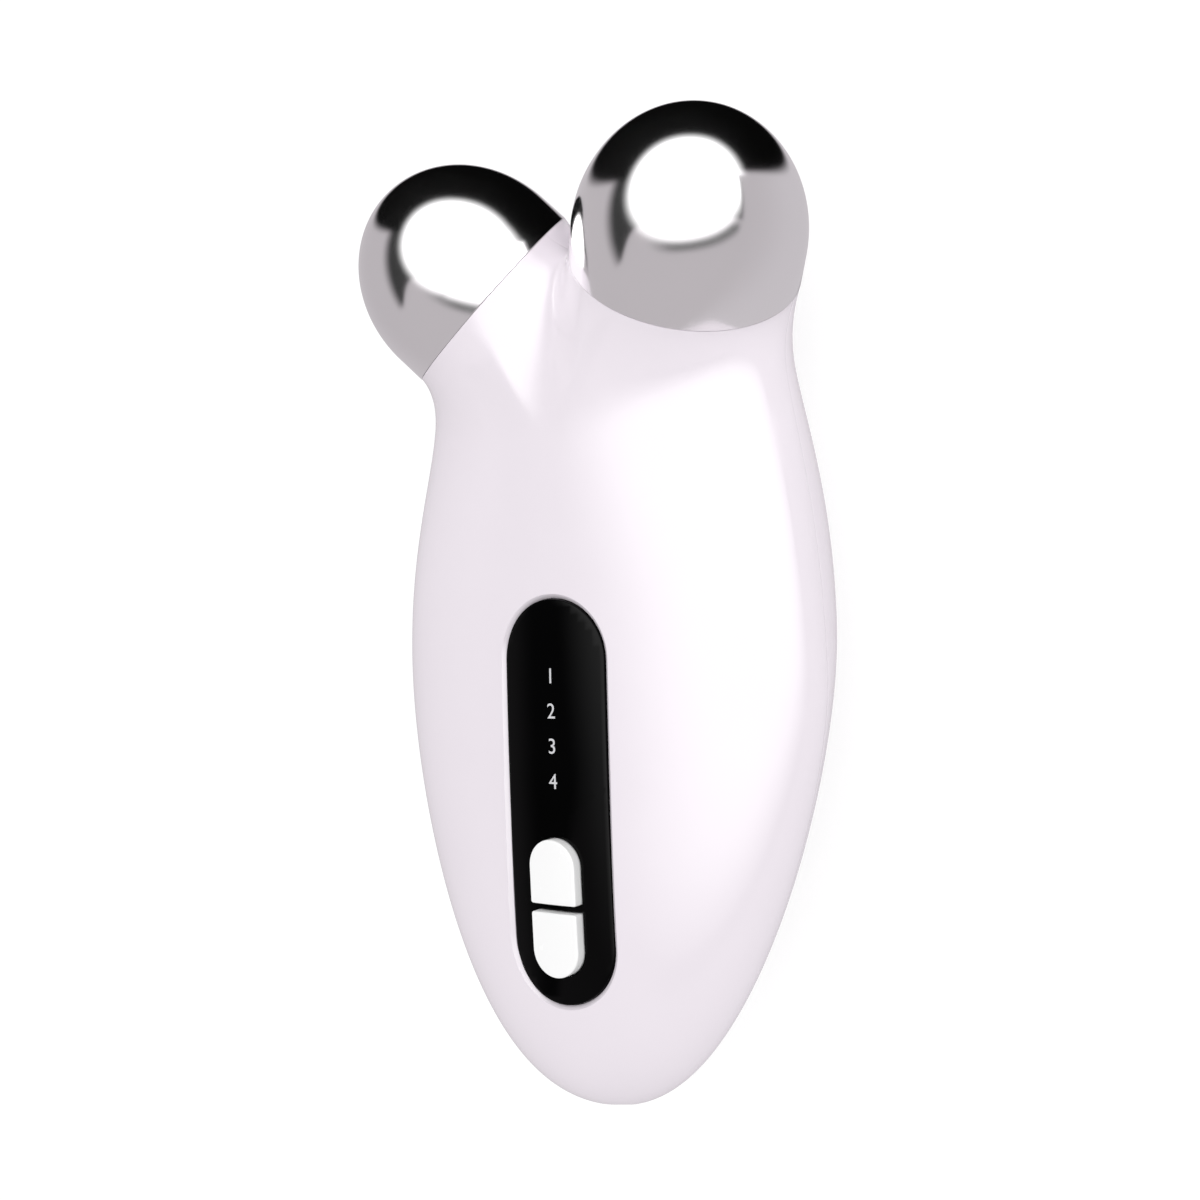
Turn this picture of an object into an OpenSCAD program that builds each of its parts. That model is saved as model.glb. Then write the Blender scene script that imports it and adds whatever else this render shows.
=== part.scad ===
// Facial toning device: two domed electrodes on the short necks of a hand-held body.
// The design frame has its origin midway between the two dome centres:
// X to the device's side, Y toward the domes, Z out of the front face.
// The finished part lies on its back, with the middle of its length at Y = 0.

/* [Body outline] */
// Distance from the dome line down to the tip of the handle
tip_drop = 105; // [95:0.5:120]
// Height of the tip above the dome line's plane (negative is behind it)
tip_z = -4.2; // [-6:0.1:-2]
// Half of the widest part of the body
belly_half_w = 31; // [27:0.5:34]
// Distance from the dome line down to the widest part
belly_drop = 52.5; // [45:0.5:60]
// Height of the parting line at the widest part
belly_z = -4.0; // [-5:0.1:-3]
// Half of the width where the belly passes into the necks
waist_half_w = 26.3; // [25:0.1:28]
// Distance from the dome line down to that place
waist_drop = 17; // [15:0.5:19]
// Height of the parting line there
waist_z = -5.2; // [-6:0.1:-4]
// Lean of the outline at that place, inward
waist_lean = 8.5; // [0:0.5:15]
// Fullness of the round tip, sideways
tip_full = 19; // [15:0.5:22]
// Reach of the outline's curve below and above the widest part
belly_reach_low = 13; // [10:0.5:16]
belly_reach_high = 17; // [13:0.5:19]
// Reach of the outline's curve below the necks
waist_reach = 5.6; // [4:0.1:8]
// Fullness of the tip, toward the front and toward the back
tip_full_front = 12.5; // [9:0.5:13]
tip_full_back = 8; // [6:0.5:11]

/* [Body front and back] */
// Height of the front face
front_z = 7.1; // [6:0.1:8]
// Distance from the dome line down to the front's highest place
front_drop = 42; // [38:1:46]
// Reach of the front's curve below and above that place
front_reach_low = 48; // [42:1:52]
front_reach_high = 8; // [6:0.5:10]
// Height of the front face between the necks, and its distance down
saddle_front_z = 7.0; // [6:0.1:7.5]
saddle_front_drop = 23; // [20:0.5:26]
// Reach of the front's curve there, and its slope down toward the necks
saddle_front_reach = 7; // [5:0.5:9]
saddle_front_slope = 1; // [0:0.5:4]
// Depth of the rounded back behind the dome line
back_depth = 23.2; // [20:0.1:26]
// Distance from the dome line down to the back's deepest place
back_drop = 30; // [26:1:34]
// Reach of the back's curve below and above that place
back_reach_low = 22; // [18:1:26]
back_reach_high = 7; // [5:0.5:9]
// Depth of the back between the necks, and its distance down
saddle_back_depth = 20.4; // [18:0.1:21.5]
saddle_back_drop = 12; // [10:0.5:14]
// Reach of the back's curve there, and its slope up toward the necks
saddle_back_reach = 6; // [4:0.5:8]
saddle_back_slope = 17; // [12:1:22]
// Top of the saddle between the necks, above the dome line, and its depth
crotch_y = 1.5; // [0.5:0.1:2]
crotch_z = -2; // [-4:0.1:0]
// Wall of the two shells
wall = 2.0; // [1.6:0.1:2.4]

/* [Domes] */
// Radius of the domes at their widest ring
dome_r = 14; // [13:0.1:14.5]
// Height of a dome above its widest ring
dome_h = 15.5; // [14:0.1:17]
// Half of the distance between the two dome centres
dome_half_gap = 16.53; // [16.5:0.01:18]
// Radius of the collar where a dome meets its neck
collar_r = 14.07; // [13.9:0.01:14.2]
// Length of the dome's straight skirt below its widest ring
skirt_h = 3.55; // [3:0.05:4]
// Angle that each arm spreads from the middle plane
splay = 30.25; // [28:0.25:32]
// Angle that the arms lean forward
lean = 38.2; // [36:0.1:40]
// Wall of the plated domes
dome_wall = 1.2; // [0.8:0.1:1.6]
// Seam between a dome's rim and the neck
seam = 0.10; // [0.05:0.01:0.2]

/* [Window and buttons] */
// Length and width of the dark front window
window_len = 48.6; // [44:0.1:52]
window_w = 14.7; // [13:0.1:15.5]
// Distance from the dome line down to the window's middle
window_drop = 66.5; // [64:0.5:68]
// Height of the window's face at its middle
window_z = 7.25; // [7.1:0.05:7.5]
// Thickness of the window along its middle line
window_t = 1.9; // [1.5:0.1:2.1]
// Radius of the window's crown across its width
window_crown = 36; // [30:1:60]
// Radius of the window's bow along its length
window_bow = 600; // [550:50:1000]
// Slope of the window toward the tip
window_slope = 1.1; // [0.8:0.1:1.3]
// Length of the pair of buttons and width of one
keys_len = 16.5; // [14:0.5:18]
key_w = 6.6; // [5:0.1:7]
// Width of the dark margin between the buttons and the window's lower end
keys_margin = 3.5; // [3:0.1:5]
// Gap between the two buttons
key_gap = 1.0; // [0.8:0.1:1.4]
// Height that the buttons stand above the window
key_proud = 1.25; // [0.7:0.05:1.5]
// Travel of a button
key_travel = 0.4; // [0.2:0.05:0.5]
// Clearance of a button in its hole
key_clear = 0.15; // [0.1:0.01:0.2]
// Number of mode lights behind the window, and the distance between two
light_count = 4; // [3:1:4]
light_pitch = 4.2; // [3.6:0.1:4.4]
// Distance from the window's upper end down to the first light
light_margin = 9.3; // [8.8:0.1:10]

/* [Inside] */
// Thickness of the circuit board
board_t = 1.2; // [0.8:0.1:1.6]
// Half of the board's width
board_half_w = 12; // [11:0.1:12.5]
// Height of the board's upper face
board_z = 0.9; // [0.8:0.05:1.0]
// Width, length and thickness of the battery pouch
battery_w = 25; // [20:0.5:26]
battery_len = 26; // [22:0.5:27]
battery_t = 6; // [5:0.5:6.5]
// Distance from the window's upper end down to the case screw under it
screw_margin = 4.8; // [4.5:0.1:5]
// Width and height of the charging socket's mouth
port_w = 8.34; // [8.3:0.01:8.4]
port_h = 2.56; // [2.5:0.01:2.6]

/* [Hidden] */

fine = 64;
$fn = 48;
belly_rows = 16;
waist_rows = 5;
neck_rows = 7;
belly_cols = 14;
saddle_cols = 8;

body_white = "whitesmoke";
chrome_grey = "silver";

// The shift from the design frame to the finished part's frame.
arm = [sin(splay), cos(splay) * cos(lean), cos(splay) * sin(lean)];
dome_top = dome_tip_y();
shift_y = (tip_drop - dome_top) / 2;
shift_z = back_depth;

// Highest Y of a dome: the ellipsoid's support along Y.
function dome_tip_y() = let (a = arm.y)
  sqrt(pow(dome_r, 2) * (1 - a * a) + pow(dome_h * a, 2));

module placed() translate([0, shift_y, shift_z]) children();

// Place of one arm's frame: Z runs up the arm from the dome's widest ring.
module on_arm(side)
  mirror([side < 0 ? 1 : 0, 0, 0])
    translate([dome_half_gap, 0, 0])
      rotate([lean - 90, 0, 0]) rotate([0, splay, 0]) children();

/* ---- body surface: rails, rings and necks ---- */

// How strongly the curves leave the saddle, the crotch (front and back)
// and the necks (outer and inner side), as shares of their own length.
saddle_pull = 0.5;
crotch_pull = [0.32, 0.42];
neck_pull = [0.52, 0.35];
collar_pull = 0.12;
// Angle round the collar that the belly's rings take up, front and back.
collar_half = [120, 114];

function unit(v) = v / norm(v);
function mix(a, b, t) = a + (b - a) * t;
function bez(p, t) = pow(1 - t, 3) * p[0] + 3 * t * pow(1 - t, 2) * p[1]
  + 3 * t * t * (1 - t) * p[2] + pow(t, 3) * p[3];
function bez_step(p, t) = 3 * (pow(1 - t, 2) * (p[1] - p[0])
  + 2 * t * (1 - t) * (p[2] - p[1]) + t * t * (p[3] - p[2]));

// Each rail runs from the tip to the fullest place (s = 0 to 1) and on to
// the necks (s = 1 to 2). The inset g makes the same rails for the inside.
function side_rail(g) = let (
    tip = [0, g - tip_drop, tip_z],
    belly = [belly_half_w - g, -belly_drop, belly_z],
    waist = [waist_half_w - g, -waist_drop, waist_z],
    up = [-sin(waist_lean), cos(waist_lean), 0])
  [[tip, tip + [tip_full - g, 0, 0],
    belly - [0, belly_reach_low, 0], belly],
   [belly, belly + [0, belly_reach_high, 0],
    waist - waist_reach * up, waist]];

function front_rail(g) = let (
    tip = [0, g - tip_drop, tip_z],
    top = [0, -front_drop, front_z - g],
    end = [0, -saddle_front_drop, saddle_front_z - g],
    up = saddle_dir(true))
  [[tip, tip + [0, 0, tip_full_front - g],
    top - [0, front_reach_low - g, 0], top],
   [top, top + [0, front_reach_high, 0],
    end - saddle_front_reach * up, end]];

function back_rail(g) = let (
    tip = [0, g - tip_drop, tip_z],
    top = [0, -back_drop, g - back_depth],
    end = [0, -saddle_back_drop, g - saddle_back_depth],
    up = saddle_dir(false))
  [[tip, tip - [0, 0, tip_full_back - g],
    top - [0, back_reach_low, 0], top],
   [top, top + [0, back_reach_high, 0],
    end - saddle_back_reach * up, end]];

function saddle_dir(front) =
  let (a = front ? -saddle_front_slope : saddle_back_slope)
    [0, cos(a), sin(a)];
function crown_rail(g, front) = front ? front_rail(g) : back_rail(g);
function on_rail(r, s) = s < 1 ? bez(r[0], s) : bez(r[1], s - 1);

// A point of the elliptical ring at s, from the side (0) to the middle (90).
function ring(q, f, th) = [q.x * cos(th), mix(q.y, f.y, sin(th)),
  mix(q.z, f.z, sin(th))];
function belly_pt(g, s, th, front) =
  ring(on_rail(side_rail(g), s), on_rail(crown_rail(g, front), s), th);

// The saddle between the necks, from the belly's middle to its top.
function saddle_arc(g, front) = let (
    from = crown_rail(g, front)[1][3],
    top = [0, crotch_y - g, crotch_z],
    reach = norm(top - from), up = saddle_dir(front))
  [from, from + up * reach * saddle_pull,
   top + [0, 0, reach * (front ? crotch_pull[0] : -crotch_pull[1])], top];

// Start, direction and collar angle of neck rail k, and its place.
function rail_start(g, k, front) = k <= belly_cols
  ? belly_pt(g, 2, 90 * k / belly_cols, front)
  : bez(saddle_arc(g, front), (k - belly_cols) / saddle_cols);
function rail_dir(g, k, front) = k <= belly_cols
  ? let (th = 90 * k / belly_cols,
      r = crown_rail(g, front)[1], q = side_rail(g)[1],
      dr = bez_step(r, 1), dq = bez_step(q, 1),
      turn = pow(max(0, 2 * k / belly_cols - 1), 2) / 2,
      out = [q[3].x * sin(th), (q[3].y - r[3].y) * cos(th),
        (q[3].z - r[3].z) * cos(th)])
    unit(mix(unit(ring(dq, dr, th)), unit(out), turn))
  : let (u = (k - belly_cols) / saddle_cols,
      turn = pow(max(0, 1 - 2 * u), 2) / 2)
    unit(mix([1, 0, 0], unit(bez_step(saddle_arc(g, front), u)), turn));
function collar_angle(k, front) =
  let (half = collar_half[front ? 0 : 1])
  k <= belly_cols ? half * k / belly_cols
  : mix(half, 180, (k - belly_cols) / saddle_cols);
function collar_pt(g, k, front) = let (
    a = collar_angle(k, front), turn = front ? 1 : -1,
    out = [cos(splay), -sin(splay) * cos(lean), -sin(splay) * sin(lean)],
    fwd = [0, -sin(lean), cos(lean)],
    mid = [dome_half_gap, 0, 0] - arm * skirt_h)
  mid + (collar_r - g) * (cos(a) * out + turn * sin(a) * fwd);
function neck_pt(g, k, t, front) = let (
    p = rail_start(g, k, front), c = collar_pt(g, k, front),
    reach = norm(c - p),
    pull = mix(neck_pull[0], neck_pull[1], k / (belly_cols + saddle_cols)))
  bez([p, p + rail_dir(g, k, front) * reach * pull,
    c - arm * reach * collar_pull, c], t);

function belly_grid(g, front) = [
  for (i = [0 : belly_rows + waist_rows])
    let (s = i <= belly_rows ? i / belly_rows
      : 1 + (i - belly_rows) / waist_rows)
    [for (k = [0 : belly_cols])
      belly_pt(g, s, 90 * k / belly_cols, front)]];
function neck_grid(g, front) = [
  for (j = [0 : neck_rows])
    [for (k = [0 : belly_cols + saddle_cols])
      neck_pt(g, k, j / neck_rows, front)]];

function column(grid, k) = [for (row = grid) row[k]];
function tail(list) = [for (i = [1 : len(list) - 1]) list[i]];

// The patches of one half shell, as grids whose faces look outward.
function half_shell(front) = let (
    outer_b = belly_grid(0, front), outer_n = neck_grid(0, front),
    inner_b = belly_grid(wall, front), inner_n = neck_grid(wall, front),
    last = belly_cols + saddle_cols)
  [outer_b, outer_n,
   [for (row = inner_b) reverse(row)], [for (row = inner_n) reverse(row)],
   [concat(column(outer_b, 0), tail(column(outer_n, 0))),
    concat(column(inner_b, 0), tail(column(inner_n, 0)))],
   [outer_n[neck_rows], inner_n[neck_rows]],
   [column(inner_n, last), column(outer_n, last)]];

function reverse(list) = [for (i = [len(list) - 1 : -1 : 0]) list[i]];
function mirrored(grid) = [for (row = grid)
  reverse([for (p = row) [-p.x, p.y, p.z]])];

// Triangles of a grid, without those that a pole makes empty.
function grid_tris(grid, flip) = [
  for (i = [0 : len(grid) - 2]) for (k = [0 : len(grid[0]) - 2])
    let (a = grid[i][k], b = grid[i][k + 1],
      c = grid[i + 1][k + 1], d = grid[i + 1][k])
    for (t = [[a, b, c], [a, c, d]])
      if (norm(cross(t[1] - t[0], t[2] - t[0])) > 1e-7)
        flip ? reverse(t) : t];

module tris_solid(tris) polyhedron(
  points = [for (t = tris) for (p = t) p],
  faces = [for (i = [0 : len(tris) - 1]) [3 * i, 3 * i + 1, 3 * i + 2]]);

module half_body(front) {
  patches = half_shell(front);
  tris_solid([for (side = [0, 1]) for (grid = patches)
    for (t = grid_tris(side == 0 ? grid : mirrored(grid), !front)) t]);
}

/* ---- shells ---- */

tape_t = 0.15;
floor_t = 1.3;
pocket_clear = 0.1;
flange = 0.7;
flange_t = 0.8;
keys_drop = window_drop + window_len / 2 - keys_margin - keys_len / 2;
first_light = window_len / 2 - light_margin;
post_r = 2.3;
post_gap = 0.6;
screw_bore = 1.0;
case_screw_drop = window_drop - window_len / 2 + screw_margin;
board_top_drop = case_screw_drop - 11;
board_end_drop = tip_drop - 5.8;
board_screw_x = 9.2;
board_screw_drops = [case_screw_drop + 7, board_end_drop - 15.2];
battery_z = -15.4;
cradle_wall = 1.1;
cradle_floor = 1.0;
battery_drop = case_screw_drop - post_r - post_gap - cradle_wall
  - battery_len / 2;
cradle_boss_x = 9;
cradle_boss_drops = [battery_drop - 8, battery_drop + 8];
tab_places = [0.62, 1.35];

// Frame of the window: origin on its face, at the middle of its length.
module at_window() translate([0, -window_drop, window_z])
  rotate([window_slope, 0, 0]) children();

// Frame of the two buttons: origin on the window's face, between them.
module at_keys() at_window() translate([0, window_drop - keys_drop, 0])
  children();

// Outline with round ends, its length along Y.
module pill(len, w) {
  square([w, len - w], center = true);
  for (end = [-1, 1]) translate([0, end * (len - w) / 2])
    circle(d = w, $fn = fine);
}

// One of the two keys' outlines, grown by c, and by e at the gap.
module key_outline(upper, c = 0, e = 0) {
  straight = keys_len / 2 - key_w / 2;
  mirror([0, upper ? 0 : 1]) {
    translate([0, straight]) circle(r = key_w / 2 + c, $fn = fine);
    translate([-key_w / 2 - c, key_gap / 2 - e])
      square([key_w + 2 * c, straight - key_gap / 2 + e]);
  }
}

module slab(z0, z1) translate([0, 0, z0])
  linear_extrude(z1 - z0) children();

// Depth at which the chamfer round the window's mouth starts.
mouth_start = 1.05;

// Pocket of the window with the chamfer round its mouth.
module window_pocket() {
  c = 2 * pocket_clear;
  slab(-window_t - tape_t, 3) pill(window_len + c, window_w + c);
  rise = 1.6;
  for (end = [-1, 1])
    translate([0, end * (window_len - window_w) / 2, -mouth_start])
      cylinder(h = rise, r1 = window_w / 2 + pocket_clear,
        r2 = window_w / 2 + pocket_clear + rise, $fn = fine);
  translate([0, (window_len - window_w) / 2, -mouth_start])
    rotate([90, 0, 0]) linear_extrude(window_len - window_w)
      polygon([for (p = [[-1, 0], [1, 0], [1, 1], [-1, 1]])
        [p.x * (window_w / 2 + pocket_clear + p.y * rise), p.y * rise]]);
}

module light_places() for (i = [0 : light_count - 1])
  translate([0, first_light - i * light_pitch]) children();

module board_screw_places() for (x = [-1, 1], d = board_screw_drops)
  translate([x * board_screw_x, -d, 0]) children();

// Outline of the charging socket, w by h, run along Y from the tip.
module port(w, h, y0, y1) translate([0, y1, socket_z()])
  rotate([90, 0, 0]) linear_extrude(y1 - y0) rotate(90) pill(w, h);
function socket_z() = board_z - board_t - port_h / 2 - socket_wall;
socket_wall = 0.3;

module front_shell() color(body_white) placed() difference() {
  union() {
    half_body(true);
    at_window() slab(-window_t - tape_t - floor_t, -1.6)
      pill(window_len + 2.4, window_w + 2.4);
    translate([0, -case_screw_drop, -1]) cylinder(h = 5.4, r = post_r);
    board_screw_places() translate([0, 0, board_z])
      cylinder(h = board_boss_h, r = board_boss_r);
  }
  at_window() {
    window_pocket();
    slab(-5, -1) light_places() square(shell_slot, center = true);
  }
  at_keys() slab(-5, -1)
    pill(keys_len + 2 * flange + 0.5, key_w + 2 * flange + 0.5);
  translate([0, -case_screw_drop, -2]) cylinder(h = 8, r = screw_bore + 0.1);
  translate([0, -case_screw_drop, head_z()])
    cylinder(h = 3, r = case_head_r + 0.15);
  board_screw_places() cylinder(h = board_z + board_bore, r = 0.8);
  port(port_w + 0.8, port_h + 0.8, -tip_drop - 2, wall + 2.6 - tip_drop);
}
board_boss_h = 4.3;
board_boss_r = 1.9;
board_bore = 3.6;
shell_slot = [2.6, 1.4];
cradle_boss_r = 2;
head_deep = 1.2;
function head_z() = window_z - window_t - tape_t - head_deep;

module snap_tab(s) {
  p = on_rail(side_rail(wall), s);
  d = s < 1 ? bez_step(side_rail(wall)[0], s)
    : bez_step(side_rail(wall)[1], s - 1);
  translate(p) rotate([0, 0, -atan2(d.x, d.y)]) {
    translate([-2.4, -2.5, -4]) cube([2.25, 5, 2.6]);
    translate([-2.4, -2.5, -4]) cube([1.1, 5, 6]);
  }
}

module rear_shell() color(body_white) placed() difference() {
  union() {
    half_body(false);
    translate([0, -case_screw_drop, -back_depth + 2.2])
      cylinder(h = back_depth - 3.25, r = post_r);
    for (x = [-1, 1], d = cradle_boss_drops)
      translate([x * cradle_boss_x, -d, -back_depth + 2.6])
        cylinder(h = back_depth - 2.6 + battery_z - cradle_floor,
          r = cradle_boss_r);
    for (side = [0, 1], s = tab_places) mirror([side, 0, 0]) snap_tab(s);
  }
  translate([0, -case_screw_drop, -8]) cylinder(h = 8, r = screw_bore);
}

/* ---- window and buttons ---- */

module display_window() color("#141416") placed() difference() {
  at_window() intersection() {
    slab(-window_t, 1) pill(window_len, window_w);
    crown(0);
  }
  for (upper = [true, false]) at_keys() slab(-3, 2)
    key_outline(upper, key_clear, key_clear);
}

// Ellipsoid in the window's frame with the crown and the bow as radii of its
// top, which lies at height z. It rounds what it cuts.
crown_half_h = 30;
module crown(z) translate([0, 0, z - crown_half_h])
  scale([sqrt(window_crown / crown_half_h),
    sqrt(window_bow / crown_half_h), 1])
    rotate([90, 0, 0]) sphere(r = crown_half_h, $fn = 180);

module window_tape() color("dimgray") placed() at_window()
  slab(-window_t - tape_t, -window_t) difference() {
    pill(window_len - 0.2, window_w - 0.2);
    pill(window_len - 3.6, window_w - 3.6);
  }

module upper_button() key(true);
module lower_button() key(false);

// A key: its crowned cap, the flange that holds it in, and its stem.
module key(upper) color("white") placed() {
  intersection() {
    at_keys() slab(-window_t - 0.2, 2) key_outline(upper);
    at_window() crown(key_proud);
  }
  at_keys() slab(-window_t - 0.1 - flange_t, -window_t - 0.1)
    key_outline(upper, flange);
  translate([0, key_y(upper), plunger_top])
    cylinder(h = window_z - window_t - flange_t - plunger_top, r = stem_r);
}
stem_r = 1.5;
switch_w = 4.5;
switch_h = 2.0;
switch_floor = 0.5;
plunger_r = 1.1;
plunger_clear = 0.05;
plunger_foot = 1.0;
plunger_reach = 0.8;
plunger_top = board_z + switch_h + plunger_reach;
function key_y(upper) = (upper ? 1 : -1)
  * (keys_len + key_gap) / 4 - keys_drop;

module switch_plunger(upper) color("black") placed()
  translate([0, key_y(upper), board_z + plunger_foot])
    cylinder(h = plunger_top - board_z - plunger_foot, r = plunger_r);
module upper_switch_plunger() switch_plunger(true);
module lower_switch_plunger() switch_plunger(false);

module tact_switch(upper) color("gray") placed()
  translate([0, key_y(upper), board_z]) difference() {
    translate([-switch_w / 2, -switch_w / 2, 0])
      cube([switch_w, switch_w, switch_h]);
    translate([0, 0, switch_floor])
      cylinder(h = 2 * switch_h, r = plunger_r + plunger_clear);
  }
module upper_switch() tact_switch(true);
module lower_switch() tact_switch(false);

/* ---- domes and their carriers, in the arm's frame ---- */

post_bore = 1.0;
post_wall_r = 2.6;
post_drop = 0.45;
bore_top = 8;
heater_z = 9.4;
heater_r = 6.5;
heater_t = 1.2;
heater_clear = 0.3;
plug_clear = 0.05;
plug_r = dome_r - dome_wall - plug_clear;
spigot_r = collar_r - wall - 0.1;
spigot_wall = 1.3;
spigot_reach = 3.6;
carrier_bore = 1.3;
carrier_top = 0.5;
carrier_low = 2.5;
groove_top = 1.2;
groove_low = 2.2;
groove_deep = 0.75;
seal_r = 0.38;
dome_head_r = 2.2;
dome_head_h = 1.7;
dome_screw_top = 5.5;

// Half of the dome's outline, r out and z up, inset by g.
function dome_arc(g) = [for (a = [0 : 3 : 90])
  [(dome_r - g) * cos(a), (dome_h - g) * sin(a)]];

module dome(side) color(chrome_grey) placed() on_arm(side) {
  difference() {
    rotate_extrude($fn = 96) union() {
      difference() {
        polygon(concat([[0, seam - skirt_h], [collar_r, seam - skirt_h]],
          dome_arc(0)));
        polygon(concat([[0, -skirt_h - 1],
          [dome_r - dome_wall, -skirt_h - 1]], dome_arc(dome_wall)));
      }
      intersection() {
        translate([0, heater_z]) square([heater_r + heater_clear, dome_h]);
        polygon(concat([[0, 0]], dome_arc(dome_wall / 2)));
      }
      translate([0, -post_drop]) square([post_wall_r, heater_z + 1]);
    }
    translate([0, 0, -1]) cylinder(h = bore_top + 1, r = post_bore);
  }
}
module left_dome() dome(-1);
module right_dome() dome(1);

// The plug that fills the dome's mouth and reaches into the neck.
module dome_carrier(side) color("gainsboro") placed() on_arm(side)
  rotate_extrude($fn = 96) difference() {
    polygon([[carrier_bore, -carrier_top], [plug_r, -carrier_top],
      [plug_r, -groove_top], [plug_r - groove_deep, -groove_top],
      [plug_r - groove_deep, -groove_low], [plug_r, -groove_low],
      [plug_r, plug_clear - skirt_h], [spigot_r, plug_clear - skirt_h],
      [spigot_r - spigot_wall, -skirt_h - spigot_reach],
      [spigot_r - 2 * spigot_wall, -skirt_h - spigot_reach],
      [spigot_r - spigot_wall - 0.1, -carrier_low],
      [carrier_bore, -carrier_low]]);
  }
module left_dome_carrier() dome_carrier(-1);
module right_dome_carrier() dome_carrier(1);

module dome_seal(side) color("dimgray") placed() on_arm(side)
  translate([0, 0, -(groove_top + groove_low) / 2])
    rotate_extrude($fn = 96)
      translate([plug_r - groove_deep + seal_r + 0.01, 0])
        circle(r = seal_r, $fn = 24);
module left_dome_seal() dome_seal(-1);
module right_dome_seal() dome_seal(1);

module dome_screw(side) color("silver") placed() on_arm(side) {
  translate([0, 0, -carrier_low - dome_head_h]) {
    cylinder(h = dome_head_h, r = dome_head_r);
    cylinder(h = carrier_low + dome_head_h + dome_screw_top,
      r = post_bore - 0.05);
  }
}
module left_dome_screw() dome_screw(-1);
module right_dome_screw() dome_screw(1);

module heater(side) color("tan") placed() on_arm(side)
  translate([0, 0, heater_z - heater_t]) difference() {
    cylinder(h = heater_t, r = heater_r);
    translate([0, 0, -1]) cylinder(h = heater_t + 2, r = post_wall_r + 0.1);
  }
module left_heater() heater(-1);
module right_heater() heater(1);

/* ---- wires ---- */

// A round tube along a smooth curve through four hand-set points.
module wire(p, r) {
  steps = 14;
  sides = 8;
  function at(i) = bez(p, i / steps);
  rings = [for (i = [0 : steps]) let (
      t = unit(bez_step(p, i / steps)),
      u = unit(cross(t, [1, 0.3, 0])), v = cross(t, u))
    [for (k = [0 : sides - 1]) at(i)
      + r * (cos(360 * k / sides) * u + sin(360 * k / sides) * v)]];
  all = [for (ring_pts = rings) for (q = ring_pts) q];
  polyhedron(points = all, faces = concat(
    [[for (k = [0 : sides - 1]) k]],
    [[for (k = [sides - 1 : -1 : 0]) steps * sides + k]],
    [for (i = [0 : steps - 1]) for (k = [0 : sides - 1])
      for (t = [[0, 0], [1, 0]])
        let (a = i * sides + k, b = i * sides + (k + 1) % sides)
        t.x == 0 ? [a, a + sides, b] : [b, a + sides, b + sides]]));
}

module dome_lead(side) color("firebrick") placed()
  mirror([side < 0 ? 1 : 0, 0, 0])
    wire([[12.2, -3.4, -3.1], [9.5, -14, -7],
      [9, 6 - board_top_drop, 4],
      [8.5, -2.2 - board_top_drop, board_z + 0.62]], 0.6);
module left_lead() dome_lead(-1);
module right_lead() dome_lead(1);

module battery_lead() color("firebrick") placed()
  translate([0, -battery_drop, 0])
    wire([[0, 0, battery_z + battery_t + 0.7],
      [0, -6, battery_z + battery_t + 0.7], [0, -9.5, -8],
      [0, -9.5, connector_z()]], 0.7);
connector_h = 3.5;
function connector_z() = board_z - board_t - connector_h;

/* ---- circuit board and what it carries ---- */

board_taper = 11.2;
board_taper_drop = board_end_drop - board_taper;
board_end_half_w = 4.8;
board_hole_r = 0.9;
board_screw_r = 0.75;
board_head_r = 1.6;
board_head_h = 1;
board_screw_len = 5;
case_head_r = 1.75;
case_head_h = 1.1;
case_screw_low = 6.5;

module main_board() color("darkgreen") placed() difference() {
  slab(board_z - board_t, board_z) difference() {
    polygon([for (p = [[-1, board_top_drop, board_half_w],
        [-1, board_taper_drop, board_half_w],
        [-1, board_end_drop, board_end_half_w],
        [1, board_end_drop, board_end_half_w],
        [1, board_taper_drop, board_half_w],
        [1, board_top_drop, board_half_w]]) [p[0] * p[2], -p[1]]]);
    translate([0, -case_screw_drop]) circle(r = post_r + 0.3, $fn = fine);
    for (x = [-1, 1], d = board_screw_drops)
      translate([x * board_screw_x, -d])
        circle(r = board_hole_r, $fn = 32);
  }
}

module board_screws() color("silver") placed()
  board_screw_places() {
    translate([0, 0, board_z - board_t - board_head_h]) {
      cylinder(h = board_head_h, r = board_head_r);
      cylinder(h = board_screw_len, r = board_screw_r);
    }
  }

module case_screw() color("silver") placed()
  translate([0, -case_screw_drop, 0]) {
    translate([0, 0, head_z()]) cylinder(h = case_head_h, r = case_head_r);
    translate([0, 0, -case_screw_low])
      cylinder(h = head_z() + case_screw_low + 0.5, r = screw_bore - 0.05);
  }

frame_w = 9;
frame_end = 2;
slot_w = 3.2;
slot_len = 3;
led_w = 1.6;
led_len = 1;
led_h = 0.7;

// Black frame that keeps the light of each mode to its own slot.
module light_frame() color("#202020") placed() {
  y_top = first_light - window_drop + frame_end;
  span = (light_count - 1) * light_pitch + 2 * frame_end;
  difference() {
    translate([-frame_w / 2, y_top - span, board_z])
      cube([frame_w, span, frame_top() - board_z]);
    translate([0, -window_drop, 0]) light_places()
      translate([-slot_w / 2, -slot_len / 2, 0])
        cube([slot_w, slot_len, 2 * frame_top()]);
  }
}
function frame_top() = window_z - window_t - tape_t - floor_t - 0.05;

module mode_leds() color("ivory") placed()
  translate([0, -window_drop, board_z]) light_places()
    translate([-led_w / 2, -led_len / 2, 0])
      cube([led_w, led_len, led_h]);

chips_drop = board_screw_drops[0] + 12.5;
main_chip = [7, 7, 1];
power_chip = [5, 4, 1.4];
small_chip = [1.6, 0.8, 0.6];
small_pitch = 3;
coil_w = 6.6;
coil_plate = 0.7;
coil_r = 2.6;
coil_h = 2.8;
buzzer_r = 4;
buzzer_h = 2.6;
buzzer_hole = 0.9;
plug = [6, 4];

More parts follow.
